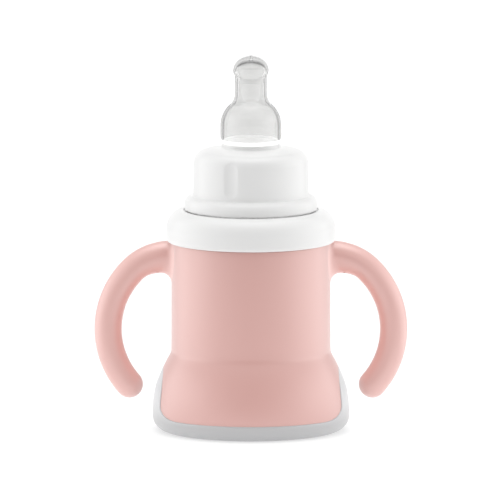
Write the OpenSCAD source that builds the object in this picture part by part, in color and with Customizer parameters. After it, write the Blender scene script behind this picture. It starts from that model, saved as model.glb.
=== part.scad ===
// Trainer bottle with two handles: a cup on a soft boot, a screw lid, a screw collar and a teat.
// The bottle stands on z = 0 with its axis on Z and its handles along X.

/* [Cup] */
// Outer diameter of the straight part of the cup
cup_d = 58; // [48:0.5:70]
// Height of the shoulder that the lid closes on
cup_h = 69.4; // [57:0.2:84]
// Wall thickness of the cup
cup_wall = 2.5; // [2:0.1:3]
// Thickness of the cup's floor
cup_floor_t = 2.5; // [1.8:0.1:4]
// Height of the underside of the cup's floor
cup_floor_z = 6.5; // [5:0.5:9]
// Radius between the floor and the wall inside the cup
cup_floor_r = 6; // [4:0.5:10]
// How far the mouth steps in from the cup's wall
mouth_step = 0.9; // [0.6:0.1:1.1]

/* [Skirt] */
// How far the skirt stands out from the cup's wall at its foot
skirt_flare = 6.4; // [5.4:0.2:8]
// Height at which the skirt starts to flare
skirt_z = 28.5; // [24:0.5:34]
// Height at which the skirt is widest
skirt_foot_z = 7; // [6.2:0.1:8.5]
// Wall thickness of the skirt
skirt_wall = 3; // [2.5:0.1:3.6]

/* [Boot] */
// Radius of the boot's rounded lower edge
boot_edge_r = 5.5; // [4.5:0.1:6]
// Thickness of the boot where it wraps the skirt
boot_t = 1.85; // [1.5:0.05:2.2]
// How far the boot stands proud of the skirt
boot_proud = 0.45; // [0.2:0.05:0.6]
// Height of the boot's band at the front and the back
boot_band_h = 6; // [5.5:0.1:7.2]
// Thickness of the boot's floor
boot_floor_t = 2.2; // [1.8:0.1:3]
// Depth of the shallow recess under the boot
boot_recess = 0.8; // [0.4:0.1:1]
// Diameter of the recess under the boot
boot_recess_d = 40; // [30:1:48]
// How far the tops of the two side tongues lie below the start of the flare
tongue_drop = 5.3; // [4.4:0.1:8]
// Width of the two side tongues
tongue_w = 24.8; // [20:0.5:30]

/* [Handles] */
// Diameter of the handle's round bar
handle_d = 9.7; // [8:0.1:11.6]
// Distance from the cup's wall to the top of the handle's first bend
handle_stub = 0.4; // [0.2:0.1:2]
// Radius of the bend at the top of the handle
handle_top_r = 19.5; // [16:0.5:23.5]
// Height of the middle of the handle's rounded tip
handle_tip_z = 16; // [13:0.5:19]
// Angle turned by the top bend
handle_top_turn = 45; // [40:1:50]
// Angle turned by the side bend
handle_side_turn = 88; // [75:1:90]
// Radius of the fillet under the handle's root
handle_root_r = 4.4; // [3:0.2:5.4]

/* [Lid] */
// Wall thickness of the lid's skirt
lid_wall = 1.4; // [1.2:0.1:2]
// Thickness of the lid above the seal
lid_roof_t = 2.7; // [2.2:0.1:3.2]
// How far the lid's shoulder starts to round off below its roof
lid_dome_drop = 3.5; // [2.9:0.1:4.2]
// Height of the rounded shoulder of the lid
lid_dome_h = 7.4; // [6.2:0.1:8.8]
// Width of the rounded shoulder of the lid
lid_dome_w = 9; // [7.5:0.1:10.8]
// Height of the lip that keeps the seal in place
lid_lip_h = 2.5; // [1.8:0.1:3]
// Thickness of that lip
lid_lip_t = 1.4; // [1:0.1:2]
// Thickness of the seal
seal_t = 1.5; // [1.2:0.1:2]
// Width of the seal
seal_w = 2.5; // [2:0.1:3]

/* [Neck and collar] */
// Outer diameter of the lid's neck
neck_d = 35.6; // [30:0.2:43]
// Wall thickness of the neck
neck_wall = 2; // [1.6:0.1:2.6]
// Height of the neck above the lid
neck_h = 19.8; // [16.5:0.1:24]
// Wall thickness of the collar
collar_wall = 1.65; // [1.4:0.05:2.2]
// Thickness of the collar's top
collar_top_t = 1.7; // [1.4:0.1:2.4]
// How far the collar's top falls from its lip to its shoulder
collar_fall = 0.9; // [0.5:0.1:1.2]
// Height of the collar's rounded shoulder
collar_shoulder_h = 5; // [4:0.1:6]
// Width of the collar's rounded shoulder
collar_shoulder_w = 5; // [4:0.1:6]
// Radius of the bead round the collar's lower edge
bead_r = 2.5; // [2:0.1:3]
// How far the middle of the bead lies outside the collar's wall
bead_out = 0.85; // [0.6:0.05:1.2]
// Diameter of the hole that the teat passes through
hole_d = 19.2; // [16:0.2:23]
// Height of the lip round that hole
lip_h = 1.7; // [1.2:0.1:2.2]
// Thickness of the lip round that hole
lip_t = 0.8; // [0.6:0.1:1.2]
// Number of grip flutes
flute_count = 3; // [2:1:8]
// Width of a grip flute
flute_w = 4.7; // [3:0.1:5.6]
// Depth of a grip flute
flute_depth = 0.6; // [0.3:0.05:0.75]
// Turn of the first flute from the front
flute_turn = -20.5; // [-60:0.5:60]

/* [Teat] */
// Height of the teat above the collar
teat_h = 31.9; // [27:0.1:38]
// Thickness of the teat's flange
flange_t = 2; // [1.6:0.1:2.6]
// Wall thickness of the teat
teat_wall = 1.25; // [1:0.05:1.5]
// How far the teat's base overhangs the collar's hole
teat_overhang = 1.55; // [1.2:0.05:2]
// Diameter of the teat's stem
stem_d = 11.7; // [9.8:0.1:14]
// Length of the stem up to the middle of the rounded end
stem_l = 8.3; // [7:0.1:10]
// How far the rounded end stands out from the stem
bulb_swell = 0.6; // [0.4:0.05:0.9]
// Height of the teat's rounded end
bulb_h = 10.4; // [8.8:0.1:12.4]
// Thickness of the teat at its tip
tip_t = 2; // [1.5:0.1:2.5]
// Diameter of the feeding hole
feed_d = 0.8; // [0.4:0.1:1.2]
// Diameter of the two air vents in the flange
vent_d = 1; // [0.6:0.1:1.4]
// Height above the collar at which the base starts to narrow
teat_base_h = 7; // [5.8:0.1:8.4]
// Height of the rib inside the stem
rib_h = 1.4; // [1:0.1:1.6]
// How far the rib stands in from the wall of the stem
rib_in = 0.7; // [0.4:0.1:0.9]

/* [Threads] */
// Rise of the lid for one turn
mouth_lead = 3; // [2.8:0.1:3.6]
// Depth of the thread between the cup and the lid
mouth_thread_depth = 0.95; // [0.7:0.05:1.1]
// Turns of thread on the cup's mouth
mouth_thread_turns = 1.7; // [1.4:0.1:2.1]
// Rise of the collar for one turn
neck_lead = 4; // [3.4:0.1:4.8]
// Depth of the thread between the neck and the collar
neck_thread_depth = 1.1; // [0.8:0.05:1.3]
// Turns of thread on the neck
neck_thread_turns = 1.75; // [1.45:0.05:2.1]

/* [Fits] */
// Gap between a thread's crest and the wall that it faces
thread_clear = 0.4; // [0.3:0.05:0.6]
// Gap between pieces that turn past each other
turn_gap = 0.3; // [0.25:0.05:0.5]
// Gap under the lower edge of the lid
lid_gap = 0.5; // [0.4:0.05:0.8]

/* [Hidden] */

$fn = 96;
pink = [0.93, 0.72, 0.69];
white = [0.95, 0.95, 0.95];
grey = [0.84, 0.84, 0.84];
clear = [0.92, 0.92, 0.9, 0.5];

arc_steps = 8;
edge_steps = 3;
edge_r = 0.5;
cut_over = 1;
far = 200;

// Threads, measured along the axis; each nut starts part of a turn after its screw
crest_share = 0.48;
thread_sunk = 0.5;
thread_steps = 30;
fade_steps = 4;
run_in = 0.35;
run_out = 0.15;
mouth_thread_w = mouth_lead / 2;
mouth_h = run_in + mouth_lead * mouth_thread_turns + mouth_thread_w + run_out;
mouth_thread_z = cup_h + run_in + mouth_thread_w / 2;
lid_late = 0.7;
lid_thread_turns = 0.9;
neck_thread_w = neck_lead / 2;
neck_plain = 1.5;
collar_late = 0.25;
collar_thread_turns = 1.25;

// Radii and heights of the cup
cup_r = cup_d / 2;
cup_in_r = cup_r - cup_wall;
mouth_r = cup_r - mouth_step;
rim_z = cup_h + mouth_h;
floor_top_z = cup_floor_z + cup_floor_t;

// The skirt's outer face is an arc that stands upright where the skirt is widest
foot_r = cup_r + skirt_flare;
skirt_rise = skirt_z - skirt_foot_z;
skirt_arc_r = (skirt_rise * skirt_rise + skirt_flare * skirt_flare) / (2 * skirt_flare);
skirt_lap = 1;
skirt_edge_z = boot_band_h - skirt_lap;
hollow_w = 1.2;
hollow_fall = skirt_flare - skirt_wall - hollow_w;
hollow_top_z = skirt_foot_z + sqrt((2 * skirt_arc_r - hollow_fall) * hollow_fall);
boot_inset = boot_t - boot_proud;

// The tongue's outline is half an ellipse on two curved feet
tongue_h = skirt_z - tongue_drop;
tongue_spring_h = 4;
tongue_spring_z = boot_band_h + tongue_spring_h;
tongue_foot_w = 11;
tongue_foot_h = 5;
tongue_foot_turn = 82;
tongue_arch_from = 6;

// Heights of the lid, the seal, the collar and the teat
lid_edge_z = cup_h + lid_gap;
lid_in_r = mouth_r + mouth_thread_depth + thread_clear;
lid_r = lid_in_r + lid_wall;
roof_z = rim_z + seal_t;
seat_z = roof_z + lid_roof_t;
dome_z = roof_z - lid_dome_drop;
lid_corner_h = 2;
dome_in_r = lid_r - lid_dome_w;
seal_r = mouth_r - turn_gap;
seal_in_r = seal_r - seal_w;
lip_r = seal_in_r - turn_gap;

neck_r = neck_d / 2;
neck_in_r = neck_r - neck_wall;
neck_rim_z = seat_z + neck_h;
neck_thread_z = neck_rim_z - neck_plain - neck_thread_w / 2 - neck_lead * neck_thread_turns;

collar_in_r = neck_r + neck_thread_depth + thread_clear;
collar_r = collar_in_r + collar_wall;
collar_edge_z = seat_z + turn_gap;
collar_in_z = neck_rim_z + flange_t;
collar_top_z = collar_in_z + collar_top_t;
bead_z = collar_edge_z + bead_r;
bead_from = 210;
bead_to = 470;
shoulder_top_z = collar_top_z - collar_fall;
shoulder_turn = 80;
seat_r = collar_r + bead_out + bead_r + turn_gap;
dome_turn = acos((seat_r - dome_in_r) / lid_dome_w);
hole_r = hole_d / 2;
lip_top_z = collar_top_z + lip_h;
flute_end_gap = 2;
flute_z = bead_z + bead_r + flute_end_gap;
flute_h = shoulder_top_z - flute_end_gap - flute_z;
flute_r = (flute_w * flute_w / 4 + flute_depth * flute_depth) / (2 * flute_depth);

flange_r = neck_r - turn_gap;
teat_neck_r = hole_r - turn_gap;
teat_z = lip_top_z + turn_gap;
teat_top_z = lip_top_z + teat_h;
teat_r = hole_r + teat_overhang;
stem_r = stem_d / 2;
bulb_r = stem_r + bulb_swell;
bulb_z = teat_top_z - bulb_h / 2;
bulb_turn = acos(stem_r / bulb_r);
flare_foot_z = lip_top_z + teat_base_h;
flare_h = bulb_z - stem_l - flare_foot_z;
rib_z = bulb_z - stem_l / 2;
tip_turn = 86;
cavity_from = 75;
cavity_to = -30;

// The handle's bar leaves the cup just under the lid
handle_r = handle_d / 2;
bar_sides = 28;
top_steps = 16;
side_steps = 24;
handle_z = lid_edge_z - turn_gap - handle_r;
handle_top_c = [cup_r + handle_stub, handle_z - handle_top_r];
handle_end_turn = handle_top_turn - handle_side_turn;
handle_drop = handle_z - handle_tip_z - handle_top_r * (1 - sin(handle_top_turn));
handle_side_r = handle_drop / (sin(handle_top_turn) - sin(handle_end_turn));
handle_side_c = handle_top_c
    + (handle_top_r - handle_side_r) * [cos(handle_top_turn), sin(handle_top_turn)];
handle_tip = handle_side_c + handle_side_r * [cos(handle_end_turn), sin(handle_end_turn)];

// Points of an arc or an elliptical arc, from angle a0 to angle a1
function arc(c, rx, ry, a0, a1, steps = arc_steps) =
    [for (i = [0 : steps]) let (a = a0 + (a1 - a0) * i / steps) c + [rx * cos(a), ry * sin(a)]];

// Radius of the skirt's outer face at height z
function skirt_face(z) = foot_r - skirt_arc_r + sqrt(pow(skirt_arc_r, 2) - pow(z - skirt_foot_z, 2));

// Points of the skirt's face moved outwards by out, between two heights
function skirt_line(out, z0, z1, steps = arc_steps) =
    [for (i = [0 : steps]) let (z = z0 + (z1 - z0) * i / steps) [skirt_face(z) + out, z]];

// A point on a curve that eases from 0 to 1
function ease(t) = t * t * (3 - 2 * t);

// A solid of revolution about Z
module turned(points) {
    rotate_extrude()
        polygon(points);
}

// Cross-section of a thread at one angle, from the wall out to its crest and back
function thread_section(root, crest, w, z, a) =
    let (half_root = w / 2, half_crest = w * crest_share / 2, side = [cos(a), sin(a), 0], up = [0, 0, 1])
    [
        root * side + (z - half_root) * up,
        crest * side + (z - half_crest) * up,
        crest * side + (z + half_crest) * up,
        root * side + (z + half_root) * up
    ];

// A ridge wound round Z with a right-hand lead; sense is 1 outwards or -1 inwards
module thread(wall_r, depth, w, lead, z, turn0, turn1, sense) {
    count = ceil((turn1 - turn0) * thread_steps);
    root = wall_r - sense * thread_sunk;
    sections = [for (i = [0 : count])
        let (t = turn0 + (turn1 - turn0) * i / count,
             fade = min(1, (i + 1) / fade_steps, (count - i + 1) / fade_steps))
        thread_section(root, wall_r + sense * depth * fade, w, z + lead * t, 360 * t)];
    points = [for (section = sections) each section];
    sides = [for (i = [0 : count - 1], k = [0 : 3])
        let (a = 4 * i + k, b = 4 * i + (k + 1) % 4)
        sense > 0 ? [a, b, b + 4, a + 4] : [a + 4, b + 4, b, a]];
    ends = sense > 0 ? [[3, 2, 1, 0], [for (k = [0 : 3]) 4 * count + k]]
        : [[0, 1, 2, 3], [for (k = [3 : -1 : 0]) 4 * count + k]];
    polyhedron(points, concat(sides, ends));
}

// Outline of the boot seen from the side: a low band with a tongue in the middle
module boot_outline() {
    foot_x = tongue_w / 2 + tongue_foot_w;
    foot_c = [foot_x, boot_band_h + tongue_foot_h];
    arch_c = [0, tongue_spring_z];
    arch_h = tongue_h - tongue_spring_z;
    right_foot = arc(foot_c, tongue_foot_w, tongue_foot_h, 270, 270 - tongue_foot_turn);
    left_foot = [for (i = [arc_steps : -1 : 0]) [-right_foot[i][0], right_foot[i][1]]];
    arch = arc(arch_c, tongue_w / 2, arch_h, tongue_arch_from, 180 - tongue_arch_from, 3 * arc_steps);
    polygon(concat([[-far, -far], [far, -far], [far, boot_band_h]],
        right_foot, arch, left_foot, [[-far, boot_band_h]]));
}

// The space that the boot takes up round the skirt
module boot_space() {
    rotate([90, 0, 90])
        linear_extrude(height = far, center = true)
            boot_outline();
}

module cup() {
    skin = concat(
        [[0, floor_top_z]],
        arc([cup_in_r - cup_floor_r, floor_top_z + cup_floor_r], cup_floor_r, cup_floor_r, 270, 360),
        arc([cup_in_r + edge_r, rim_z - edge_r], edge_r, edge_r, 180, 90, edge_steps),
        arc([mouth_r - edge_r, rim_z - edge_r], edge_r, edge_r, 90, 0, edge_steps),
        [[mouth_r, cup_h]],
        arc([cup_r - edge_r, cup_h - edge_r], edge_r, edge_r, 90, 0, edge_steps),
        skirt_line(0, skirt_z, skirt_foot_z, 2 * arc_steps),
        [[foot_r, skirt_edge_z], [foot_r - skirt_wall, skirt_edge_z]],
        skirt_line(-skirt_wall, skirt_foot_z, hollow_top_z),
        [[cup_r, hollow_top_z]],
        arc([cup_r - cup_floor_r, cup_floor_z + cup_floor_r], cup_floor_r, cup_floor_r, 0, -90),
        [[0, cup_floor_z]]);
    recess = concat(
        [[far, -far], [far, far]],
        [[skirt_face(skirt_z) - boot_inset, far]],
        skirt_line(-boot_inset, skirt_z, skirt_foot_z, 2 * arc_steps),
        [[foot_r - boot_inset, -far]]);
    color(pink) {
        difference() {
            turned(skin);
            intersection() {
                turned(recess);
                boot_space();
            }
        }
        thread(mouth_r, mouth_thread_depth, mouth_thread_w, mouth_lead, mouth_thread_z,
            0, mouth_thread_turns, 1);
    }
}

module base_boot() {
    edge_c = [foot_r + boot_proud - boot_edge_r, boot_edge_r];
    shell = concat(
        [[0, boot_recess], [boot_recess_d / 2, boot_recess], [boot_recess_d / 2 + boot_recess, 0]],
        arc(edge_c, boot_edge_r, boot_edge_r, 270, 360),
        skirt_line(boot_proud, skirt_foot_z, skirt_z, 2 * arc_steps),
        skirt_line(-boot_inset, skirt_z, skirt_foot_z, 2 * arc_steps),
        [[foot_r - boot_inset, skirt_edge_z], [foot_r - skirt_wall - edge_r, skirt_edge_z]],
        [[foot_r - skirt_wall - edge_r, boot_floor_t], [0, boot_floor_t]]);
    color(grey)
        intersection() {
            turned(shell);
            boot_space();
        }
}

// How far the handle's bar reaches down at distance d from the cup's wall, to round off the corner there
function root_grow(d) =
    let (t = handle_root_r - min(max(d, 0), handle_root_r))
    handle_root_r - sqrt(pow(handle_root_r, 2) - t * t);

// One ring of the handle's bar, with its middle at c and its outer side facing angle a
function bar_ring(c, a, r, grow = 0) =
    [for (k = [0 : bar_sides - 1])
        let (t = 360 * k / bar_sides, out = r * cos(t) - grow * pow(min(0, cos(t)), 2))
        [c[0] + out * cos(a), r * sin(t), c[1] + out * sin(a)]];

// The handle on the +X side, a bar swept from inside the cup's wall to its rounded tip
module handle() {
    root = [for (x = [cup_r - cup_wall, cup_r])
        bar_ring([x, handle_z], 90, handle_r, handle_root_r)];
    top = [for (i = [0 : top_steps])
        let (a = 90 - handle_top_turn * i / top_steps, c = handle_top_c + handle_top_r * [cos(a), sin(a)])
        bar_ring(c, a, handle_r, root_grow(c[0] - cup_r))];
    side = [for (i = [1 : side_steps])
        let (a = handle_top_turn - handle_side_turn * i / side_steps)
        bar_ring(handle_side_c + handle_side_r * [cos(a), sin(a)], a, handle_r)];
    tip = [for (i = [1 : arc_steps - 1])
        let (t = 90 * i / arc_steps, along = [sin(handle_end_turn), -cos(handle_end_turn)])
        bar_ring(handle_tip + handle_r * sin(t) * along, handle_end_turn, handle_r * cos(t))];
    rings = concat(root, top, side, tip);
    count = len(rings) * bar_sides;
    skin = [for (i = [0 : len(rings) - 2], k = [0 : bar_sides - 1])
        let (a = i * bar_sides + k, b = i * bar_sides + (k + 1) % bar_sides)
        each [[a, b, b + bar_sides], [a, b + bar_sides, a + bar_sides]]];
    ends = [[for (k = [bar_sides - 1 : -1 : 0]) k], [for (k = [0 : bar_sides - 1]) count - bar_sides + k]];
    difference() {
        polyhedron([for (ring = rings) each ring], concat(skin, ends));
        cylinder(h = cup_h, r = cup_r);
    }
}

module left_handle() {
    color(pink)
        mirror([1, 0, 0])
            handle();
}

module right_handle() {
    color(pink)
        handle();
}

module lid_seal() {
    color(clear)
        difference() {
            translate([0, 0, rim_z])
                cylinder(h = seal_t, r = seal_r);
            translate([0, 0, rim_z - cut_over])
                cylinder(h = seal_t + 2 * cut_over, r = seal_in_r);
        }
}

module lid() {
    corner_z = roof_z - lid_corner_h;
    skin = concat(
        [[lid_in_r, lid_edge_z]],
        arc([lid_r - edge_r, lid_edge_z + edge_r], edge_r, edge_r, 270, 360, edge_steps),
        arc([dome_in_r, dome_z], lid_dome_w, lid_dome_h, 0, dome_turn, 2 * arc_steps),
        [[seat_r, seat_z]],
        arc([neck_r + edge_r, seat_z + edge_r], edge_r, edge_r, 270, 180, edge_steps),
        arc([neck_r - edge_r, neck_rim_z - edge_r], edge_r, edge_r, 0, 90, edge_steps),
        [[neck_in_r, neck_rim_z], [neck_in_r, roof_z]],
        [[lip_r - lid_lip_t, roof_z], [lip_r - lid_lip_t, roof_z - lid_lip_h]],
        [[lip_r, roof_z - lid_lip_h], [lip_r, roof_z]],
        [[seal_r + turn_gap, roof_z], [lid_in_r, corner_z]]);
    color(white) {
        turned(skin);
        thread(lid_in_r, mouth_thread_depth, mouth_thread_w, mouth_lead,
            mouth_thread_z - mouth_lead / 2, lid_late, lid_late + lid_thread_turns, -1);
        thread(neck_r, neck_thread_depth, neck_thread_w, neck_lead, neck_thread_z,
            0, neck_thread_turns, 1);
    }
}

module screw_collar() {
    skin = concat(
        [[collar_in_r, bead_z - bead_r / 2]],
        arc([collar_r + bead_out, bead_z], bead_r, bead_r, bead_from, bead_to, 2 * arc_steps),
        arc([collar_r - collar_shoulder_w, shoulder_top_z - collar_shoulder_h],
            collar_shoulder_w, collar_shoulder_h, 0, shoulder_turn),
        [[hole_r + 2 * lip_t, collar_top_z], [hole_r + lip_t, collar_top_z + lip_t]],
        arc([hole_r + lip_t / 2, lip_top_z - lip_t / 2], lip_t / 2, lip_t / 2, 0, 180, 2 * edge_steps),
        [[hole_r, collar_in_z], [collar_in_r, collar_in_z]]);
    color(white) {
        difference() {
            turned(skin);
            for (i = [0 : flute_count - 1])
                rotate(flute_turn - 90 + 360 * i / flute_count)
                    translate([collar_r - flute_depth + flute_r, 0, 0])
                        flute();
        }
        thread(collar_in_r, neck_thread_depth, neck_thread_w, neck_lead,
            neck_thread_z - neck_lead / 2, collar_late, collar_late + collar_thread_turns, -1);
    }
}

// The round-ended cutter of one grip flute
module flute() {
    translate([0, 0, flute_z + flute_w / 2])
        cylinder(h = flute_h - flute_w, r = flute_r);
    translate([0, 0, flute_z + flute_w / 2])
        sphere(flute_r);
    translate([0, 0, flute_z + flute_h - flute_w / 2])
        sphere(flute_r);
}

module teat() {
    flare = [for (i = [0 : 2 * arc_steps])
        let (t = i / (2 * arc_steps))
        [teat_r + (stem_r - teat_r) * ease(t), flare_foot_z + flare_h * t]];
    outer = concat(
        [[flange_r, neck_rim_z], [flange_r, collar_in_z]],
        [[teat_neck_r, collar_in_z], [teat_neck_r, teat_z], [teat_r, teat_z]],
        flare,
        arc([0, bulb_z], bulb_r, bulb_h / 2, -bulb_turn, tip_turn, 2 * arc_steps),
        [[feed_d / 2, teat_top_z]]);
    bulb_in_r = bulb_r - teat_wall;
    stem_in_r = stem_r - teat_wall;
    cavity_top_z = teat_top_z - tip_t;
    inner = concat(
        [[feed_d / 2, cavity_top_z]],
        arc([0, bulb_z], bulb_in_r, cavity_top_z - bulb_z, cavity_from, cavity_to),
        [[stem_in_r - rib_in, rib_z + rib_h], [stem_in_r - rib_in, rib_z], [stem_in_r, rib_z]],
        [for (i = [2 * arc_steps : -1 : 0]) flare[i] - [teat_wall, 0]],
        [[teat_neck_r - teat_wall, teat_z], [teat_neck_r - teat_wall, neck_rim_z]]);
    vent_r = (teat_neck_r + neck_in_r) / 2;
    color(clear)
        difference() {
            turned(concat(outer, inner));
            for (side = [-1, 1])
                translate([0, side * vent_r, neck_rim_z - cut_over])
                    cylinder(h = flange_t + 2 * cut_over, d = vent_d);
        }
}

cup();
left_handle();
right_handle();
base_boot();
lid_seal();
lid();
teat();
screw_collar();
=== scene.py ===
"""Trainer bottle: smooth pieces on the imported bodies, procedural materials, studio light and camera."""
import math

import bmesh
import bpy
import numpy as np
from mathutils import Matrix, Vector


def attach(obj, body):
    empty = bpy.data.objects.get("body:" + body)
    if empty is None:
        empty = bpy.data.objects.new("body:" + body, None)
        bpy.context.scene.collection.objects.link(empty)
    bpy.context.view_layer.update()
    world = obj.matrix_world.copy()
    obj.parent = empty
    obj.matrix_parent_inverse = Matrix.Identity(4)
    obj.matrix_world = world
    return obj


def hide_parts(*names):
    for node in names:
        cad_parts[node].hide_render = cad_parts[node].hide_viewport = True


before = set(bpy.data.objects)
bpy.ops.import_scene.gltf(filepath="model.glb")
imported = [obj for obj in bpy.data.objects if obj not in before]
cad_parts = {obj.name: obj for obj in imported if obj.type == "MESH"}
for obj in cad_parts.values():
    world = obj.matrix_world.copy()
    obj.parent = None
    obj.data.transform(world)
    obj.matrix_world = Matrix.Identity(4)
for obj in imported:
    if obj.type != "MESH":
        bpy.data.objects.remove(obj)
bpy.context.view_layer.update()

MM = 0.001
TURN = 2 * math.pi
QUARTER = math.pi / 2

# Sizes in millimetres, those of the CAD model apart from a few small changes

# Cup: its wall, its mouth, its floor with a rounded corner, and the flared skirt round that
CUP_R, CUP_IN_R, CUP_H = 29.0, 26.5, 69.5
MOUTH_R, RIM_Z = 28.1, 76.5
FLOOR_Z, FLOOR_T, FLOOR_R = 6.5, 2.5, 6.0
FOOT_R, FOOT_Z, SKIRT_Z, SKIRT_WALL = 35.4, 7.0, 28.5, 3.0
HEM_Z, CREASE = 5.0, 0.5

# Handles: the bar, its top bend with its middle, the angle where the side bend takes over, and the free end
HANDLE_R, TOP_C, TOP_R, TOP_TURN = 5.0, (29.25, 45.05), 19.6, 45.0
SIDE_R, END_TURN = 30.7, -41.6
# Handles' roots: how much deeper the bar grows below and over which angles, and the fillet round it
ROOT_GROW, ROOT_FROM, ROOT_OVER = 1.45, 48.0, 32.0
FILLET, FILLET_BESIDE, FILLET_BELOW = 0.3, 2.2, 4.1

# Boot: its band and tongues, its rounded lower edge, how far it stands proud, and the recess below it
BAND_Z, TONGUE_TOP, TONGUE_HALF = 6.0, 23.2, 12.4
BOOT_EDGE, BOOT_INSET, BOOT_FLOOR = 5.5, 1.4, 2.2
BOOT_PROUD, TIP_PROUD, THIN_FROM, THIN_OVER = 0.45, 0.10, 15.0, 7.0
RECESS_R, RECESS = 20.0, 0.8

# Lid with the seat of the collar, its neck, and the seal with the lip that holds it
LID_R, LID_IN_R, LID_EDGE, ROOF_Z, SEAT_Z, SEAT_R = 30.85, 29.45, 69.6, 78.0, 80.7, 24.6
NECK_R, NECK_IN_R, NECK_TOP = 17.8, 15.8, 100.5
SEAL_R, SEAL_IN_R, LIP_R, LIP_T, LIP_H = 27.8, 25.3, 25.0, 1.4, 2.5

# Collar: its wall, its lip and hole, and its three grip flutes
COLLAR_R, COLLAR_IN_R, COLLAR_EDGE, COLLAR_IN_Z = 20.95, 19.3, 81.0, 102.5
COLLAR_LIP, HOLE_R = 105.9, 9.6
FLUTE_HALF, FLUTE_DEPTH, FLUTE_LOW, FLUTE_HIGH = 2.6, 0.62, 87.8, 101.2
FLUTES = [math.radians(-110.5 + 120.0 * i) for i in range(3)]

# Teat: its base, the neck and flange below it, its stem and the bulb at its end
TEAT_TOP, TEAT_Z, TEAT_R, TEAT_WALL, MILKY_GLOW_TOP = 137.8, 106.2, 11.15, 1.25, 107.25
TEAT_NECK, FLANGE_R = 9.3, 17.5
STEM_R, BULB_R, BULB_Z, BULB_H = 5.85, 6.45, 132.6, 5.2

# Threads of the cup's mouth and of the lid's neck, and the side of its wall on which a ridge stands
MOUTH_THREAD = {"depth": 0.95, "width": 1.5, "lead": 3.0}
NECK_THREAD = {"depth": 1.1, "width": 2.0, "lead": 4.0}
OUTSIDE, INSIDE = 1, -1


# Points and meshes

def oval(cx, cz, rx, rz, a0, a1, steps):
    """Points of an elliptical arc from angle a0 to angle a1, in degrees."""
    turn = np.radians(np.linspace(a0, a1, steps + 1))
    return [(cx + rx * math.cos(a), cz + rz * math.sin(a)) for a in turn]


def arc(cx, cz, r, a0, a1, steps):
    """Points of a circular arc from angle a0 to angle a1, in degrees."""
    return oval(cx, cz, r, r, a0, a1, steps)


def rounded(x, z, r, a0, a1, steps):
    """The corner at (x, z) rounded with radius r: a quarter arc from angle a0 to angle a1, in degrees."""
    ends = np.radians((a0, a1))
    return arc(x - r * round(np.cos(ends).sum()), z - r * round(np.sin(ends).sum()), r, a0, a1, steps)


def ease(t):
    """A smooth step from 0 to 1, level before t = 0 and after t = 1."""
    t = min(max(t, 0.0), 1.0)
    return t * t * (3 - 2 * t)


def all_round(count):
    """Evenly spaced angles for one whole turn."""
    return np.linspace(0, TURN, count, endpoint=False)


def supported(points, closed=True):
    """The outline with points added on longer lines and near their ends, so that edges shade crisply."""
    near, spacing = 0.18, 2.5
    shortest = 5 * near
    out, count = [], len(points)
    for i in range(count if closed else count - 1):
        a, b = np.array(points[i]), np.array(points[(i + 1) % count])
        length = float(np.linalg.norm(b - a))
        out.append(tuple(a))
        if length > shortest:
            steps = max(1, int(length / spacing))
            inner = [near + (length - 2 * near) * k / steps for k in range(steps + 1)]
            out += [tuple(a + (b - a) * d / length) for d in inner]
    return out if closed else out + [tuple(points[-1])]


def new_object(name, verts, faces, material, smooth=True):
    """A mesh object from points in millimetres, with doubled points joined and its faces turned outwards."""
    same_place = 1e-7
    mesh = bpy.data.meshes.new(name)
    mesh.from_pydata([tuple(float(c) * MM for c in v) for v in verts], [], faces)
    work = bmesh.new()
    work.from_mesh(mesh)
    bmesh.ops.remove_doubles(work, verts=work.verts, dist=same_place)
    bmesh.ops.recalc_face_normals(work, faces=work.faces)
    if work.calc_volume(signed=True) < 0:
        bmesh.ops.reverse_faces(work, faces=work.faces)
    work.to_mesh(mesh)
    work.free()
    mesh.polygons.foreach_set("use_smooth", [smooth] * len(mesh.polygons))
    mesh.update()
    obj = bpy.data.objects.new(name, mesh)
    bpy.context.scene.collection.objects.link(obj)
    mesh.materials.append(material)
    return obj


def ring_faces(rings, sides, closed=False):
    """Faces between rings of points that have the same count; closed joins the last ring to the first."""
    faces = []
    for i in range(rings if closed else rings - 1):
        a, b = i * sides, ((i + 1) % rings) * sides
        for k in range(sides):
            n = (k + 1) % sides
            faces.append((a + k, a + n, b + n, b + k))
    return faces


def turned(name, outline, material, angles=all_round(192), shape=None, closed=True):
    """A solid of revolution. shape(r, z, a) can change the radius of a point at angle a."""
    verts = []
    for r, z in outline:
        for a in angles:
            rr = shape(r, z, a) if shape else r
            verts.append((rr * math.cos(a), rr * math.sin(a), z))
    return new_object(name, verts, ring_faces(len(outline), len(angles), closed), material)


def thread(name, material, wall, side, z, turns, depth, width, lead):
    """A right-hand ridge, fading at its ends: turns are its first and last, z is its height at turn 0."""
    per_turn, thin = 72, 0.4
    fading = per_turn / 10
    # half of the section, as shares of depth and width; the part sunk in the wall is in millimetres
    half = [(-0.5, 0.5), (0.0, 0.42), (0.75, 0.27), (1.0, 0.15)]
    section = [(out, -up) for out, up in half] + half[::-1]
    first, last = turns
    count = int((last - first) * per_turn)
    verts = []
    for i in range(count + 1):
        t = first + (last - first) * i / count
        fade = math.sin(min(1.0, min(i, count - i) / fading) * QUARTER)
        for out, up in section:
            r = wall + side * (out * depth * fade if out > 0 else out)
            rise = lead * t + up * width * (thin + (1 - thin) * fade)
            verts.append((r * math.cos(TURN * t), r * math.sin(TURN * t), z + rise))
    sides = len(section)
    faces = ring_faces(count + 1, sides)
    faces.append(tuple(range(sides)))
    faces.append(tuple(count * sides + k for k in range(sides)))
    return new_object(name, verts, faces, material)


# Materials

def set_inputs(node, values):
    """Sets constant inputs of a node by their names."""
    for name, value in values.items():
        node.inputs[name].default_value = value


def new_material(name):
    """A material with nodes, and its shader."""
    mat = bpy.data.materials.new(name)
    mat.use_nodes = True
    return mat, mat.node_tree.nodes["Principled BSDF"]


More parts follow.
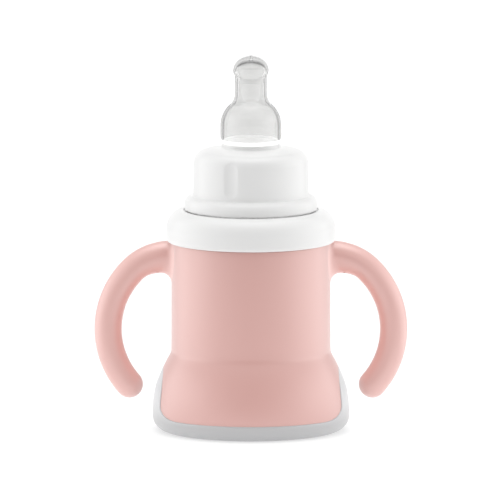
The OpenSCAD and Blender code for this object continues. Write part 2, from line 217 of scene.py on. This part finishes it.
def moulded(name, colour, vary, rough, bump, grain=2600.0, coat=0.0, gloss=0.5, painted_glow=0.0):
    """Moulded plastic or rubber: a faintly clouded colour, an uneven satin and a fine moulded grain."""
    uneven, grain_depth = 0.015, 0.00004
    mat, shader = new_material(name)
    nodes, links = mat.node_tree.nodes, mat.node_tree.links
    place = nodes.new("ShaderNodeTexCoord")
    clouds = nodes.new("ShaderNodeTexNoise")
    set_inputs(clouds, {"Scale": 45.0, "Detail": 4.0, "Roughness": 0.55})
    links.new(place.outputs["Object"], clouds.inputs["Vector"])
    tint = nodes.new("ShaderNodeValToRGB")
    dark, light = tint.color_ramp.elements
    dark.position, light.position = 0.3, 0.7
    dark.color = (*[c * (1 - vary) for c in colour], 1)
    light.color = (*[min(1.0, c * (1 + vary)) for c in colour], 1)
    links.new(clouds.outputs["Fac"], tint.inputs["Fac"])
    links.new(tint.outputs["Color"], shader.inputs["Base Color"])
    satin = nodes.new("ShaderNodeMapRange")
    set_inputs(satin, {"From Min": 0.25, "From Max": 0.75})
    set_inputs(satin, {"To Min": rough - uneven, "To Max": rough + uneven})
    links.new(clouds.outputs["Fac"], satin.inputs["Value"])
    links.new(satin.outputs["Result"], shader.inputs["Roughness"])
    fine = nodes.new("ShaderNodeTexNoise")
    set_inputs(fine, {"Scale": grain, "Detail": 3.0})
    links.new(place.outputs["Object"], fine.inputs["Vector"])
    relief = nodes.new("ShaderNodeBump")
    set_inputs(relief, {"Strength": bump, "Distance": grain_depth})
    links.new(fine.outputs["Fac"], relief.inputs["Height"])
    links.new(relief.outputs["Normal"], shader.inputs["Normal"])
    set_inputs(shader, {"IOR": 1.49, "Specular IOR Level": gloss})
    set_inputs(shader, {"Coat Weight": coat, "Coat Roughness": 0.38, "Coat IOR": 1.8})
    # the emission is a painted glow: the piece shines a little though it is no lamp
    set_inputs(shader, {"Emission Color": (1, 1, 1, 1), "Emission Strength": painted_glow})
    return mat


def painted_light_above(mat, low, high, gain):
    """Lightens a material from one height to another: painted light, which leaves what lies below it as
    painted shade.
    """
    nodes, links = mat.node_tree.nodes, mat.node_tree.links
    target = nodes["Principled BSDF"].inputs["Base Color"]
    place = nodes.new("ShaderNodeTexCoord")
    split = nodes.new("ShaderNodeSeparateXYZ")
    links.new(place.outputs["Object"], split.inputs["Vector"])
    rise = nodes.new("ShaderNodeMapRange")
    rise.interpolation_type = "SMOOTHSTEP"
    set_inputs(rise, {"From Min": low * MM, "From Max": high * MM, "To Min": 1.0, "To Max": gain})
    links.new(split.outputs["Z"], rise.inputs["Value"])
    lighter = nodes.new("ShaderNodeVectorMath")
    lighter.operation = "SCALE"
    links.new(target.links[0].from_socket, lighter.inputs["Vector"])
    links.new(rise.outputs["Result"], lighter.inputs["Scale"])
    links.new(lighter.outputs["Vector"], target)


def clear_silicone(name, colour, rough, density):
    """Clear silicone that greys with depth, with a faint clouding and a slightly uneven skin."""
    uneven, darker, wave_depth = 0.3, 0.99, 0.0001
    mat, shader = new_material(name)
    nodes, links = mat.node_tree.nodes, mat.node_tree.links
    place = nodes.new("ShaderNodeTexCoord")
    waves = nodes.new("ShaderNodeTexNoise")
    set_inputs(waves, {"Scale": 260.0, "Detail": 2.0})
    links.new(place.outputs["Object"], waves.inputs["Vector"])
    relief = nodes.new("ShaderNodeBump")
    set_inputs(relief, {"Strength": 0.05, "Distance": wave_depth})
    links.new(waves.outputs["Fac"], relief.inputs["Height"])
    links.new(relief.outputs["Normal"], shader.inputs["Normal"])
    haze = nodes.new("ShaderNodeMapRange")
    set_inputs(haze, {"To Min": rough * (1 - uneven), "To Max": rough * (1 + uneven)})
    links.new(waves.outputs["Fac"], haze.inputs["Value"])
    links.new(haze.outputs["Result"], shader.inputs["Roughness"])
    tint = nodes.new("ShaderNodeValToRGB")
    dark, light = tint.color_ramp.elements
    dark.color = (*[c * darker for c in colour], 1)
    light.color = (*colour, 1)
    links.new(waves.outputs["Fac"], tint.inputs["Fac"])
    links.new(tint.outputs["Color"], shader.inputs["Base Color"])
    set_inputs(shader, {"Transmission Weight": 1.0, "IOR": 1.41})
    depth = nodes.new("ShaderNodeVolumeAbsorption")
    set_inputs(depth, {"Color": (0.5, 0.5, 0.5, 1), "Density": density})
    links.new(depth.outputs["Volume"], nodes["Material Output"].inputs["Volume"])
    return mat


PINK_FINISH = {"vary": 0.004, "rough": 0.40, "bump": 0.04, "coat": 1.0, "gloss": 1.0}
pink = moulded("pink_polypropylene", (0.735, 0.393, 0.352), **PINK_FINISH)
# the handles' pink is a lighter copy of the cup's pink: painted light, making up for light that the cup
# keeps off the handles
handle_pink_painted_lighter = moulded("handle_polypropylene_painted_lighter", (0.845, 0.478, 0.433), **PINK_FINISH)
white = moulded("white_polypropylene", (0.865, 0.865, 0.86), vary=0.003, rough=0.30, bump=0.04)
grey = moulded("grey_elastomer", (0.46, 0.46, 0.468), vary=0.012, rough=0.44, bump=0.16,
               grain=1700.0, coat=1.0, gloss=1.0)
# painted shade on the boot's rounded lower edge, which faces the floor, with the boot above it painted
# lighter
painted_light_above(grey, low=3.5, high=12.0, gain=1.42)
seal_rubber = moulded("seal_silicone", (0.80, 0.80, 0.79), vary=0.02, rough=0.45, bump=0.1)
clear = clear_silicone("clear_silicone", (0.87, 0.87, 0.865), rough=0.05, density=90.0)
# the milky base has a painted glow, shining a little though it is no lamp
milky_glow_silicone = moulded("milky_painted_glow_silicone", (0.93, 0.93, 0.925), vary=0.01, rough=0.5, bump=0.1, painted_glow=0.52)


# Cup

SKIRT_RISE, FLARE = SKIRT_Z - FOOT_Z, FOOT_R - CUP_R
SKIRT_ARC = (SKIRT_RISE ** 2 + FLARE ** 2) / (2 * FLARE)


def skirt(z):
    """Radius of the cup's outer face at height z, with a small fillet where the skirt leaves the wall."""
    rise = max(z - FOOT_Z, 0.0)
    flare = FOOT_R - SKIRT_ARC + math.sqrt(SKIRT_ARC ** 2 - rise ** 2)
    if z <= FOOT_Z:
        return flare
    return 0.5 * (CUP_R + flare + math.sqrt((CUP_R - flare) ** 2 + CREASE ** 2))


def cup_outline():
    """From the middle of the floor up the inside, over the rim, down the outside and back underneath."""
    rim, below_rim, nook, shoulder, hem = 0.5, 0.7, 0.3, 0.35, 0.3
    wall_z, flank_z = np.linspace(67, 40, 12), np.linspace(38, HEM_Z + 0.4, 66)
    lining_r, lining_z, lining_top = FOOT_R - SKIRT_WALL, np.linspace(9, 19, 8), 19.9
    inside = [(0.0, FLOOR_Z + FLOOR_T)] + rounded(CUP_IN_R, FLOOR_Z + FLOOR_T, FLOOR_R, 270, 360, 12)
    outline = supported(inside, closed=False)
    outline += rounded(CUP_IN_R, RIM_Z, rim, 180, 90, 5)
    outline += rounded(MOUTH_R, RIM_Z, rim, 90, 0, 5)
    mouth = [(MOUTH_R, RIM_Z - below_rim)] + rounded(MOUTH_R, CUP_H, nook, 180, 270, 4)
    mouth += rounded(CUP_R, CUP_H, shoulder, 90, 0, 5)
    outline += supported(mouth, closed=False)
    outline += [(CUP_R, z) for z in wall_z]
    outline += [(skirt(z), z) for z in flank_z]
    outline += [(FOOT_R - hem, HEM_Z), (lining_r, HEM_Z), (lining_r, FOOT_Z)]
    outline += [(skirt(z) - SKIRT_WALL, z) for z in lining_z]
    outline += [(CUP_R, lining_top)]
    underside = rounded(CUP_R, FLOOR_Z, FLOOR_R, 0, -90, 8) + [(0.0, FLOOR_Z)]
    return outline + supported(underside, closed=False)


cup = turned("cup_body", cup_outline(), pink, closed=False)
cup_thread = thread("cup_thread", pink, MOUTH_R, OUTSIDE, z=70.5, turns=(0.0, 1.7), **MOUTH_THREAD)


# Handles

SIDE_C = (TOP_C[0] + (TOP_R - SIDE_R) * math.cos(math.radians(TOP_TURN)),
          TOP_C[1] + (TOP_R - SIDE_R) * math.sin(math.radians(TOP_TURN)))
ROOT_STEPS = (-0.08, 0.0, 0.03, 0.1, 0.22, 0.4, 0.65, 0.95, 1.3, 1.75, 2.3, 2.9, 3.6, 4.4, 5.2)


def under(a, t):
    """How much deeper the bar is on its underside, close to the cup; a is the angle along the top bend."""
    return ROOT_GROW * ease((a - ROOT_FROM) / ROOT_OVER) * max(0.0, -math.cos(t)) ** 1.5


def root_point(d, t):
    """A point of the bar's filleted root, at distance d from the cup's wall and angle t round the bar."""
    fillet = FILLET + FILLET_BESIDE * math.sin(t) ** 2 + FILLET_BELOW * max(0.0, -math.cos(t)) ** 2
    short = fillet - min(max(d, 0.0), fillet)
    out = fillet - math.sqrt(fillet ** 2 - short ** 2)
    y = (HANDLE_R + out) * math.sin(t)
    x = math.sqrt((CUP_R + d) ** 2 - y ** 2)
    bend = TOP_R + HANDLE_R * math.cos(t)
    lean = max(0.0, x - TOP_C[0]) / bend
    bend -= under(math.degrees(math.acos(lean)), t)
    return x, y, TOP_C[1] + bend * math.sqrt(1 - lean ** 2) + out * math.cos(t)


def bar_point(a, t, r=HANDLE_R):
    """A point of the bar: a is the angle along the bends, t the angle round the bar, r the bar's radius."""
    middle, bend = (TOP_C, TOP_R) if a >= TOP_TURN else (SIDE_C, SIDE_R)
    reach = bend + (r * math.cos(t) - under(a, t))
    along = math.radians(a)
    return middle[0] + reach * math.cos(along), r * math.sin(t), middle[1] + reach * math.sin(along)


def end_point(lift, t):
    """A point of the bar's round free end; lift is the angle up from its last full ring."""
    smallest = 1e-6
    x, y, z = bar_point(END_TURN, t, max(HANDLE_R * math.cos(lift), smallest))
    along, end = HANDLE_R * math.sin(lift), math.radians(END_TURN)
    return x + along * math.sin(end), y, z - along * math.cos(end)


def handle(name, side):
    """A handle at the right (side 1) or the left (side -1): its root, both bends and its round free end."""
    around = all_round(64)
    points = [root_point(d, t) for d in ROOT_STEPS for t in around]
    bends = [*np.linspace(70, TOP_TURN, 14), *np.linspace(43, END_TURN, 44)]
    points += [bar_point(a, t) for a in bends for t in around]
    points += [end_point(lift, t) for lift in np.radians(np.linspace(7, 90, 13)) for t in around]
    faces = ring_faces(len(points) // len(around), len(around))
    faces.append(tuple(range(len(around))))
    return new_object(name, [(side * x, y, z) for x, y, z in points], faces, handle_pink_painted_lighter)


left_handle = handle("left_handle_bar", -1)
right_handle = handle("right_handle_bar", 1)
# the handles throw no shadow on the cup and aren't mirrored in it, because the photo shows neither
for bar in (left_handle, right_handle):
    bar.visible_shadow = bar.visible_diffuse = bar.visible_glossy = False


# Boot

# Steps along a quarter of the boot's upper edge, the radius at which it is laid flat, and its rim's width
EDGE_STEPS, FLAT_R, RIM_W = 80, 33.0, 0.9
# Radius of the middle of the rounded lower edge
ROLL_R = FOOT_R + BOOT_PROUD - BOOT_EDGE


def boot_radius(z, out):
    """Radius of a surface that lies out from the skirt at height z, with the rounded lower edge."""
    if z < BOOT_EDGE:
        drop = BOOT_EDGE - z
        return ROLL_R + math.sqrt(max(0.0, BOOT_EDGE ** 2 - drop ** 2))
    return skirt(z) + out


def proud(z):
    """How far the boot stands out from the skirt: less towards the tops of its tongues."""
    return BOOT_PROUD + (TIP_PROUD - BOOT_PROUD) * ease((z - THIN_FROM) / THIN_OVER)


def tongue_edge():
    """The boot's upper edge from the middle of a tongue to the level band: (half-width, height) points."""
    spring, foot_w, foot_h = BAND_Z + 4.0, 11.0, 5.0
    arch = oval(0, spring, TONGUE_HALF, TONGUE_TOP - spring, 90, 6, 40)
    return arch + oval(TONGUE_HALF + foot_w, BAND_Z + foot_h, foot_w, foot_h, 188, 270, 24)


def flat_edge():
    """A quarter of the boot's upper edge laid flat, in even steps, and the directions into the boot."""
    edge = [(math.asin(min(1.0, y / skirt(z))), z) for y, z in tongue_edge()]
    edge += [(a, BAND_Z) for a in np.linspace(edge[-1][0], QUARTER, 26)[1:]]
    flat = np.array([(a * FLAT_R, z) for a, z in edge])
    length = np.r_[0, np.cumsum(np.linalg.norm(np.diff(flat, axis=0), axis=1))]
    even = np.linspace(0, length[-1], EDGE_STEPS + 1)
    points = np.column_stack([np.interp(even, length, values) for values in flat.T])
    along = np.gradient(points, axis=0)
    along /= np.linalg.norm(along, axis=1)[:, None]
    along[0], along[-1] = (1, 0), (1, 0)
    return points, np.column_stack([along[:, 1], -along[:, 0]])


def whole_ring(quarter):
    """A ring of points from a quarter's (angle, radius, height) points, mirrored in every other quarter."""
    ring = []
    for q in range(4):
        forward = q % 2 == 0
        for angle, r, z in (quarter[:-1] if forward else quarter[:0:-1]):
            a = q * QUARTER + angle if forward else (q + 1) * QUARTER - angle
            ring.append((r * math.cos(a), r * math.sin(a), z))
    return ring


def boot():
    """The boot: rings from the middle of its floor over its rim and its outside to the middle below."""
    points, inward = flat_edge()
    # angles of a level ring, between those of the edge and even ones, so that the faces don't lean too far
    follow = 0.55
    level = follow * points[:, 0] / FLAT_R + (1 - follow) * np.linspace(0, QUARTER, EDGE_STEPS + 1)

    def level_ring(r, z):
        """At one radius and one height."""
        return whole_ring([(angle, r, z) for angle in level])

    def rim_ring(inset, rise):
        """On the rim: inset from the edge, raised by a share of how far the boot stands proud, or sunk."""
        quarter = []
        for (a, z), (to_a, to_z) in zip(points, inward):
            angle, height = (a + to_a * inset) / FLAT_R, z + to_z * inset
            out = rise * proud(height) if rise > 0 else rise
            quarter.append((angle, boot_radius(height, out), height))
        return whole_ring(quarter)

    def face_ring(share, low_z, sunk=None):
        """Between the rim (share 0) and a level ring (share 1), on the outer face or sunk into the skirt."""
        quarter = []
        for (a, z), (to_a, to_z), low_angle in zip(points, inward, level):
            angle, height = (a + to_a * RIM_W) / FLAT_R, z + to_z * RIM_W
            angle, height = angle + (low_angle - angle) * share, height + (low_z - height) * share
            r = boot_radius(height, proud(height)) if sunk is None else skirt(height) - sunk
            quarter.append((angle, r, height))
        return whole_ring(quarter)

    floor_r, wall_r, rim_sunk, face_low = 31.6, 31.9, 0.5, 4.9
    rounding = ((0.0, 0.05), (0.02, 0.4), (0.09, 0.66), (0.2, 0.86), (0.36, 0.97), (0.55, 1.0), (RIM_W, 1.0))
    rings = [level_ring(r, BOOT_FLOOR) for r in (0.0, 16.0, floor_r)]
    rings += [level_ring(wall_r, z) for z in (2.5, 4.8)]
    rings += [face_ring(share, HEM_Z, BOOT_INSET) for share in (0.9, 0.6, 0.3, 0.0)]
    rings += [rim_ring(0.0, -rim_sunk)]
    rings += [rim_ring(inset, rise) for inset, rise in rounding]
    rings += [face_ring(share, face_low) for share in np.linspace(0.06, 1.0, 16)]
    rings += [level_ring(r, z) for r, z in arc(ROLL_R, BOOT_EDGE, BOOT_EDGE, -8, -90, 12)]
    rings += [level_ring(r, 0.0) for r in (ROLL_R - 0.3, 27.0, 24.0, RECESS_R + 1.2)]
    rings += [level_ring(RECESS_R + 1.0, 0.02), level_ring(RECESS_R + 0.2, RECESS - 0.05)]
    rings += [level_ring(r, RECESS) for r in (RECESS_R, RECESS_R - 0.4, 10.0, 0.0)]
    verts = [point for ring in rings for point in ring]
    return new_object("boot_skin", verts, ring_faces(len(rings), len(rings[0])), grey)


base_boot = boot()


# Lid and seal

def lid_outline():
    """From the lid's lower edge up the outside, over the dome and the neck, and back down the inside."""
    edge, edge_w, edge_h = 0.25, 0.8, 1.7
    plumb_z, dome_w, dome_z, dome_h = (72.0, 73.2), 5.95, 74.4, 6.75
    # places of the step down to the collar's seat, from the seat's edge and the dome's crest
    step = ((0.18, 0.08), (0.03, -0.05), (0.0, -0.2))
    nook, neck_foot, neck_edge, bore_edge, bore_foot = 0.2, 0.5, 0.5, 0.4, 0.3
    lip_in, lip_z, lip_edge = LIP_R - LIP_T, ROOF_Z - LIP_H, 0.3
    beside_seal, slope = 0.3, 2.0
    outline = rounded(LID_IN_R, LID_EDGE, edge, 180, 270, 3)
    outline += oval(LID_R - edge_w, LID_EDGE + edge_h, edge_w, edge_h, 270, 360, 9)
    outline += [(LID_R, z) for z in plumb_z]
    outline += oval(LID_R - dome_w, dome_z, dome_w, dome_h, 0, 89, 30)
    crest_z = outline[-1][1]
    outline += [(SEAT_R + out, crest_z + up) for out, up in step]
    outline += rounded(SEAT_R, SEAT_Z, nook, 0, -90, 4)
    outline += rounded(NECK_R, SEAT_Z, neck_foot, 270, 180, 4)
    outline += rounded(NECK_R, NECK_TOP, neck_edge, 0, 90, 4)
    outline += rounded(NECK_IN_R, NECK_TOP, bore_edge, 90, 180, 4)
    outline += rounded(NECK_IN_R, ROOF_Z, bore_foot, 180, 270, 3)
    outline += [(lip_in, ROOF_Z), (lip_in, lip_z + lip_edge), (lip_in + lip_edge, lip_z)]
    outline += [(LIP_R - lip_edge, lip_z), (LIP_R, lip_z + lip_edge), (LIP_R, ROOF_Z)]
    outline += [(SEAL_R + beside_seal, ROOF_Z), (LID_IN_R, ROOF_Z - slope)]
    return supported(outline)


def seal_outline():
    """The seal's flat section with its four rounded corners."""
    edge, outline = 0.3, []
    corners = ((SEAL_R, RIM_Z), (SEAL_R, ROOF_Z), (SEAL_IN_R, ROOF_Z), (SEAL_IN_R, RIM_Z))
    for (r, z), turn in zip(corners, (270, 0, 90, 180)):
        outline += rounded(r, z, edge, turn, turn + 90, 4)
    return supported(outline)


lid = turned("lid_shell", lid_outline(), white)
lid_thread = thread("lid_thread", white, LID_IN_R, INSIDE, z=69.0, turns=(0.7, 1.6), **MOUTH_THREAD)
neck_thread = thread("neck_thread", white, NECK_R, OUTSIDE, z=91.0, turns=(0.0, 1.75), **NECK_THREAD)
seal = turned("seal_ring", seal_outline(), seal_rubber)


# Collar

def apart(a, b):
    """The angle from b to a, between minus half a turn and half a turn."""
    return (a - b + math.pi) % TURN - math.pi


def fluted(r, z, a):
    """The collar's radius with its grip flutes, which are round-ended hollows with a soft edge."""
    inner_r, low_z, own_side, reach, soft, soft_depth = COLLAR_R - 4.0, 85.0, 0.3, 1.15, 0.012, 0.1095
    if r < inner_r or z < low_z:
        return r
    for flute in FLUTES:
        side = apart(a, flute)
        if abs(side) < own_side:
            past = max(0.0, FLUTE_LOW + FLUTE_HALF - z, z - FLUTE_HIGH + FLUTE_HALF)
            away = math.hypot(r * math.sin(side), past) / FLUTE_HALF
            if away < reach:
                hollow = max(0.0, 1 - away * away)
                # the softening makes the flute deeper, and that is taken off again towards its middle
                deeper = math.sqrt(hollow * hollow + soft) - soft_depth * (reach - away) / reach
                r -= FLUTE_DEPTH * (deeper + hollow) * 0.5
    return r


def collar_angles():
    """Evenly spaced angles, with closer ones across the flutes."""
    across, least = 0.17, 0.012
    close = np.concatenate([flute + np.linspace(-across, across, 41) for flute in FLUTES]) % TURN
    even = [a for a in all_round(168) if np.abs(apart(a, close)).min() > least]
    return np.sort(np.concatenate([even, close]))


def collar_outline():
    """The collar's wall with its bead, rounded shoulder, slightly domed top and lip."""
    lift, chamfer, margin = 0.2, 0.4, 0.05
    bead_r, bead_z, bead_w, bead_up, bead_round = 21.6, 83.4, 2.7, 2.95, 0.9
    hollow_r, hollow_z, hollow = 22.05, 87.2, 0.9
    wall_r, wall_z, wall_in, wall_up = 21.15, 87.4, 0.025, 1.1
    shoulder_r, shoulder_z, shoulder = 16.3, 98.55, 4.6
    dome, dome_r = 9.5, (15.6, 14.3, 13.0, 12.0)
    foot_r, foot_z, foot, lip = 11.35, 104.8, 0.75, 0.5
    bore_edge, roof_round = 0.2, COLLAR_IN_R - FLANGE_R
    outline = [(COLLAR_IN_R, COLLAR_EDGE + lift + chamfer), (COLLAR_IN_R + chamfer, COLLAR_EDGE + lift)]
    outline += rounded(bead_r + bead_w - margin, COLLAR_EDGE + margin, bead_round, 270, 360, 8)
    outline += oval(bead_r, bead_z, bead_w, bead_up, 0, 82, 14)
    outline += arc(hollow_r, hollow_z, hollow, 260, 182, 7)
    outline += [(wall_r - wall_in * k, wall_z + wall_up * k) for k in range(11)]
    outline += arc(shoulder_r, shoulder_z, shoulder, 2, 90 - dome, 24)
    slope, (last_r, last_z) = math.tan(math.radians(dome)), outline[-1]
    outline += [(r, last_z + (last_r - r) * slope) for r in dome_r]
    outline += arc(foot_r, foot_z, foot, 270 - dome, 185, 7)
    outline += arc(HOLE_R + lip, COLLAR_LIP - lip, lip, 0, 180, 10)
    outline += [(HOLE_R, COLLAR_IN_Z + bore_edge), (HOLE_R + bore_edge, COLLAR_IN_Z)]
    outline += rounded(COLLAR_IN_R, COLLAR_IN_Z, roof_round, 90, 0, 6)
    return supported(outline)


collar = turned("collar_shell", collar_outline(), white, collar_angles(), fluted)
collar_thread = thread("collar_thread", white, COLLAR_IN_R, INSIDE, z=89.0, turns=(0.25, 1.5), **NECK_THREAD)


# Teat

def teat_outline():
    """From the flange up the outside, over the tip with its feeding hole, and back down the inside."""
    shoulder_r, shoulder_z, hollow_r, lean = 10.6, 112.0, 5.41, 48.0
    base_edge, stem_low, stem_high = 0.45, 126.0, 128.4
    tip_turn, hole_r, hole_round, hole_drop, tip_wall, cavity_turn = 82, 0.4, 0.4, 0.45, 2.0, -20
    rib, rib_top, rib_under, rib_fall, rib_steps, fall_steps = 0.25, 129.8, 129.2, 1.3, 8, 6
    shelf, shelf_round = 106.8, 0.4
    stem_in, base_in, bore = STEM_R - TEAT_WALL, TEAT_R - TEAT_WALL, TEAT_NECK - TEAT_WALL
    hollow_z = shoulder_z + (shoulder_r + hollow_r) * math.sin(math.radians(lean))
    bulb_turn = math.degrees(math.acos(STEM_R / BULB_R))
    cavity_top = TEAT_TOP - tip_wall
    flare = arc(TEAT_R - shoulder_r, shoulder_z, shoulder_r, 0, lean, 20)
    flare += arc(STEM_R + hollow_r, hollow_z, hollow_r, 180 + lean, 180, 12)[1:]
    outline = [(FLANGE_R, NECK_TOP), (FLANGE_R, COLLAR_IN_Z), (TEAT_NECK, COLLAR_IN_Z), (TEAT_NECK, TEAT_Z)]
    outline += rounded(TEAT_R, TEAT_Z, base_edge, 270, 360, 5)
    outline += flare
    outline += [(STEM_R, stem_low), (STEM_R, stem_high)]
    outline += oval(0, BULB_Z, BULB_R, BULB_H, -bulb_turn, tip_turn, 36)
    outline += arc(hole_r + hole_round, TEAT_TOP - hole_drop, hole_round, 80, 180, 4)
    outline += [(hole_r, cavity_top)]
    outline += oval(0, BULB_Z, BULB_R - TEAT_WALL, cavity_top - BULB_Z, tip_turn, cavity_turn, 26)
    rib_r, (last_r, last_z) = stem_in - rib, outline[-1]
    for share in np.arange(1, rib_steps + 1) / rib_steps:
        outline.append((last_r + (rib_r - last_r) * ease(share), last_z + (rib_top - last_z) * share))
    for share in np.arange(1, fall_steps + 1) / fall_steps:
        outline.append((rib_r + rib * ease(share), rib_under - rib_fall * share))
    outline += [(stem_in, stem_low)]
    outline += [(r - TEAT_WALL, z) for r, z in reversed(flare)]
    outline += rounded(base_in, shelf, shelf_round, 0, -90, 5)
    outline += rounded(bore, shelf, shelf_round, 90, 180, 5)
    outline += [(bore, NECK_TOP)]
    return supported(outline)


teat = turned("teat_skin", teat_outline(), clear)
teat.data.materials.append(milky_glow_silicone)
# the teat's base is milky, with a painted glow: it shines a little in place of light that comes through the
# white plastic
for face in teat.data.polygons:
    if max(teat.data.vertices[v].co.z for v in face.vertices) < MILKY_GLOW_TOP * MM:
        face.material_index = 1


# Bodies

SHELLS = (
    (cup, "bottle", "cup", "pink_plastic"),
    (left_handle, "bottle", "left_handle", "pink_plastic"),
    (right_handle, "bottle", "right_handle", "pink_plastic"),
    (base_boot, "bottle", "base_boot", "grey_rubber"),
    (seal, "seal", "lid_seal", "seal_silicone"),
    (lid, "lid", "lid", "white_plastic"),
    (teat, "teat", "teat", "clear_silicone"),
    (collar, "collar", "screw_collar", "white_plastic"),
)
RIDGES = (
    (cup_thread, "bottle", "pink_plastic"),
    (lid_thread, "lid", "white_plastic"),
    (neck_thread, "lid", "white_plastic"),
    (collar_thread, "collar", "white_plastic"),
)
for piece, body, node, slot in SHELLS:
    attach(piece, body)
    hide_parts(node)
for piece, body, slot in RIDGES:
    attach(piece, body)


# Floor, light and camera

def floor():
    """A pale strip that widens behind the bottle, so that the cup's edges mirror it, and shines a little."""
    half, near, far = 150.0, -300.0, 1700.0
    spread, spread_from, spread_to = 480.0, 117.0, 380.0
    mat, shader = new_material("pale_floor")
    set_inputs(shader, {"Base Color": (0.55, 0.55, 0.55, 1), "Roughness": 0.8, "Specular IOR Level": 0.1})
    set_inputs(shader, {"Emission Color": (1, 1, 1, 1), "Emission Strength": 0.515})
    right = [(half, near), (half, spread_from), (spread, spread_to), (half, spread_to), (half, far)]
    corners = [(x, y, 0) for x, y in right] + [(-x, y, 0) for x, y in reversed(right)]
    obj = new_object("floor", corners, [tuple(range(len(corners)))], mat, smooth=False)


def ramp(tree, value, stops):
    """A smooth curve through (place, level) stops, as a node on the given value."""
    node = tree.nodes.new("ShaderNodeValToRGB")
    node.color_ramp.interpolation = "EASE"
    while len(node.color_ramp.elements) < len(stops):
        node.color_ramp.elements.new(1.0)
    for element, (place, level) in zip(node.color_ramp.elements, stops):
        element.position = place
        element.color = (level, level, level, 1)
    tree.links.new(value, node.inputs["Fac"])
    return node.outputs["Color"]


def studio_sky(strength):
    """Soft light, dim behind the camera and bright at both sides and above. The camera sees plain white."""
    # from the camera's side (0) to the back (1); the dip at 0.87 draws the line of the teat's inner wall
    front_to_back = ((0.0, 0.16), (0.05, 0.29), (0.13, 0.42), (0.25, 0.6), (0.37, 0.83), (0.5, 0.86),
                     (0.62, 0.88), (0.72, 0.93), (0.8, 0.81), (0.87, 0.22), (0.93, 0.46), (1.0, 0.58))
    # from straight below (0) to straight above (1)
    low_to_high = ((0.0, 0.15), (0.36, 0.72), (0.5, 0.64), (0.58, 0.72), (0.64, 0.72), (0.7, 0.57),
                   (0.8, 0.38), (0.875, 0.36), (0.94, 0.6), (1.0, 1.15))
    world = bpy.data.worlds.new("studio")
    bpy.context.scene.world = world
    world.use_nodes = True
    tree = world.node_tree
    place = tree.nodes.new("ShaderNodeTexCoord")
    split = tree.nodes.new("ShaderNodeSeparateXYZ")
    tree.links.new(place.outputs["Generated"], split.inputs["Vector"])
    level = tree.nodes.new("ShaderNodeVectorMath")
    level.operation = "MULTIPLY"
    for slot, (axis, stops) in enumerate((("Y", front_to_back), ("Z", low_to_high))):
        share = tree.nodes.new("ShaderNodeMapRange")
        share.inputs["From Min"].default_value = -1.0
        tree.links.new(split.outputs[axis], share.inputs["Value"])
        tree.links.new(ramp(tree, share.outputs["Result"], stops), level.inputs[slot])
    light = tree.nodes["Background"]
    light.inputs["Strength"].default_value = strength
    tree.links.new(level.outputs["Vector"], light.inputs["Color"])
    seen = tree.nodes.new("ShaderNodeBackground")
    seen.inputs["Color"].default_value = (1, 1, 1, 1)
    path = tree.nodes.new("ShaderNodeLightPath")
    choose = tree.nodes.new("ShaderNodeMixShader")
    tree.links.new(path.outputs["Is Camera Ray"], choose.inputs["Fac"])
    tree.links.new(light.outputs["Background"], choose.inputs[1])
    tree.links.new(seen.outputs["Background"], choose.inputs[2])
    tree.links.new(choose.outputs["Shader"], tree.nodes["World Output"].inputs["Surface"])


def photo_camera():
    """A camera without perspective that looks down a little, framed as the photo is."""
    image_side, pixel, look_down = 500, 0.365 * MM, math.radians(8.2)
    aim, distance = Vector((-0.33 * MM, 0, 66.2 * MM)), 1.5
    camera = bpy.data.cameras.new("photo_view")
    camera.type = "ORTHO"
    camera.ortho_scale = image_side * pixel
    camera.clip_start, camera.clip_end = 0.01, 20.0
    view = bpy.data.objects.new("photo_view", camera)
    bpy.context.scene.collection.objects.link(view)
    back = Vector((0, -math.cos(look_down), math.sin(look_down)))
    view.location = aim + back * distance
    view.rotation_mode = "QUATERNION"
    view.rotation_quaternion = (-back).to_track_quat("-Z", "Y")
    bpy.context.scene.camera = view


floor()
studio_sky(strength=2.67)
photo_camera()
bpy.context.scene.view_settings.view_transform = "Standard"
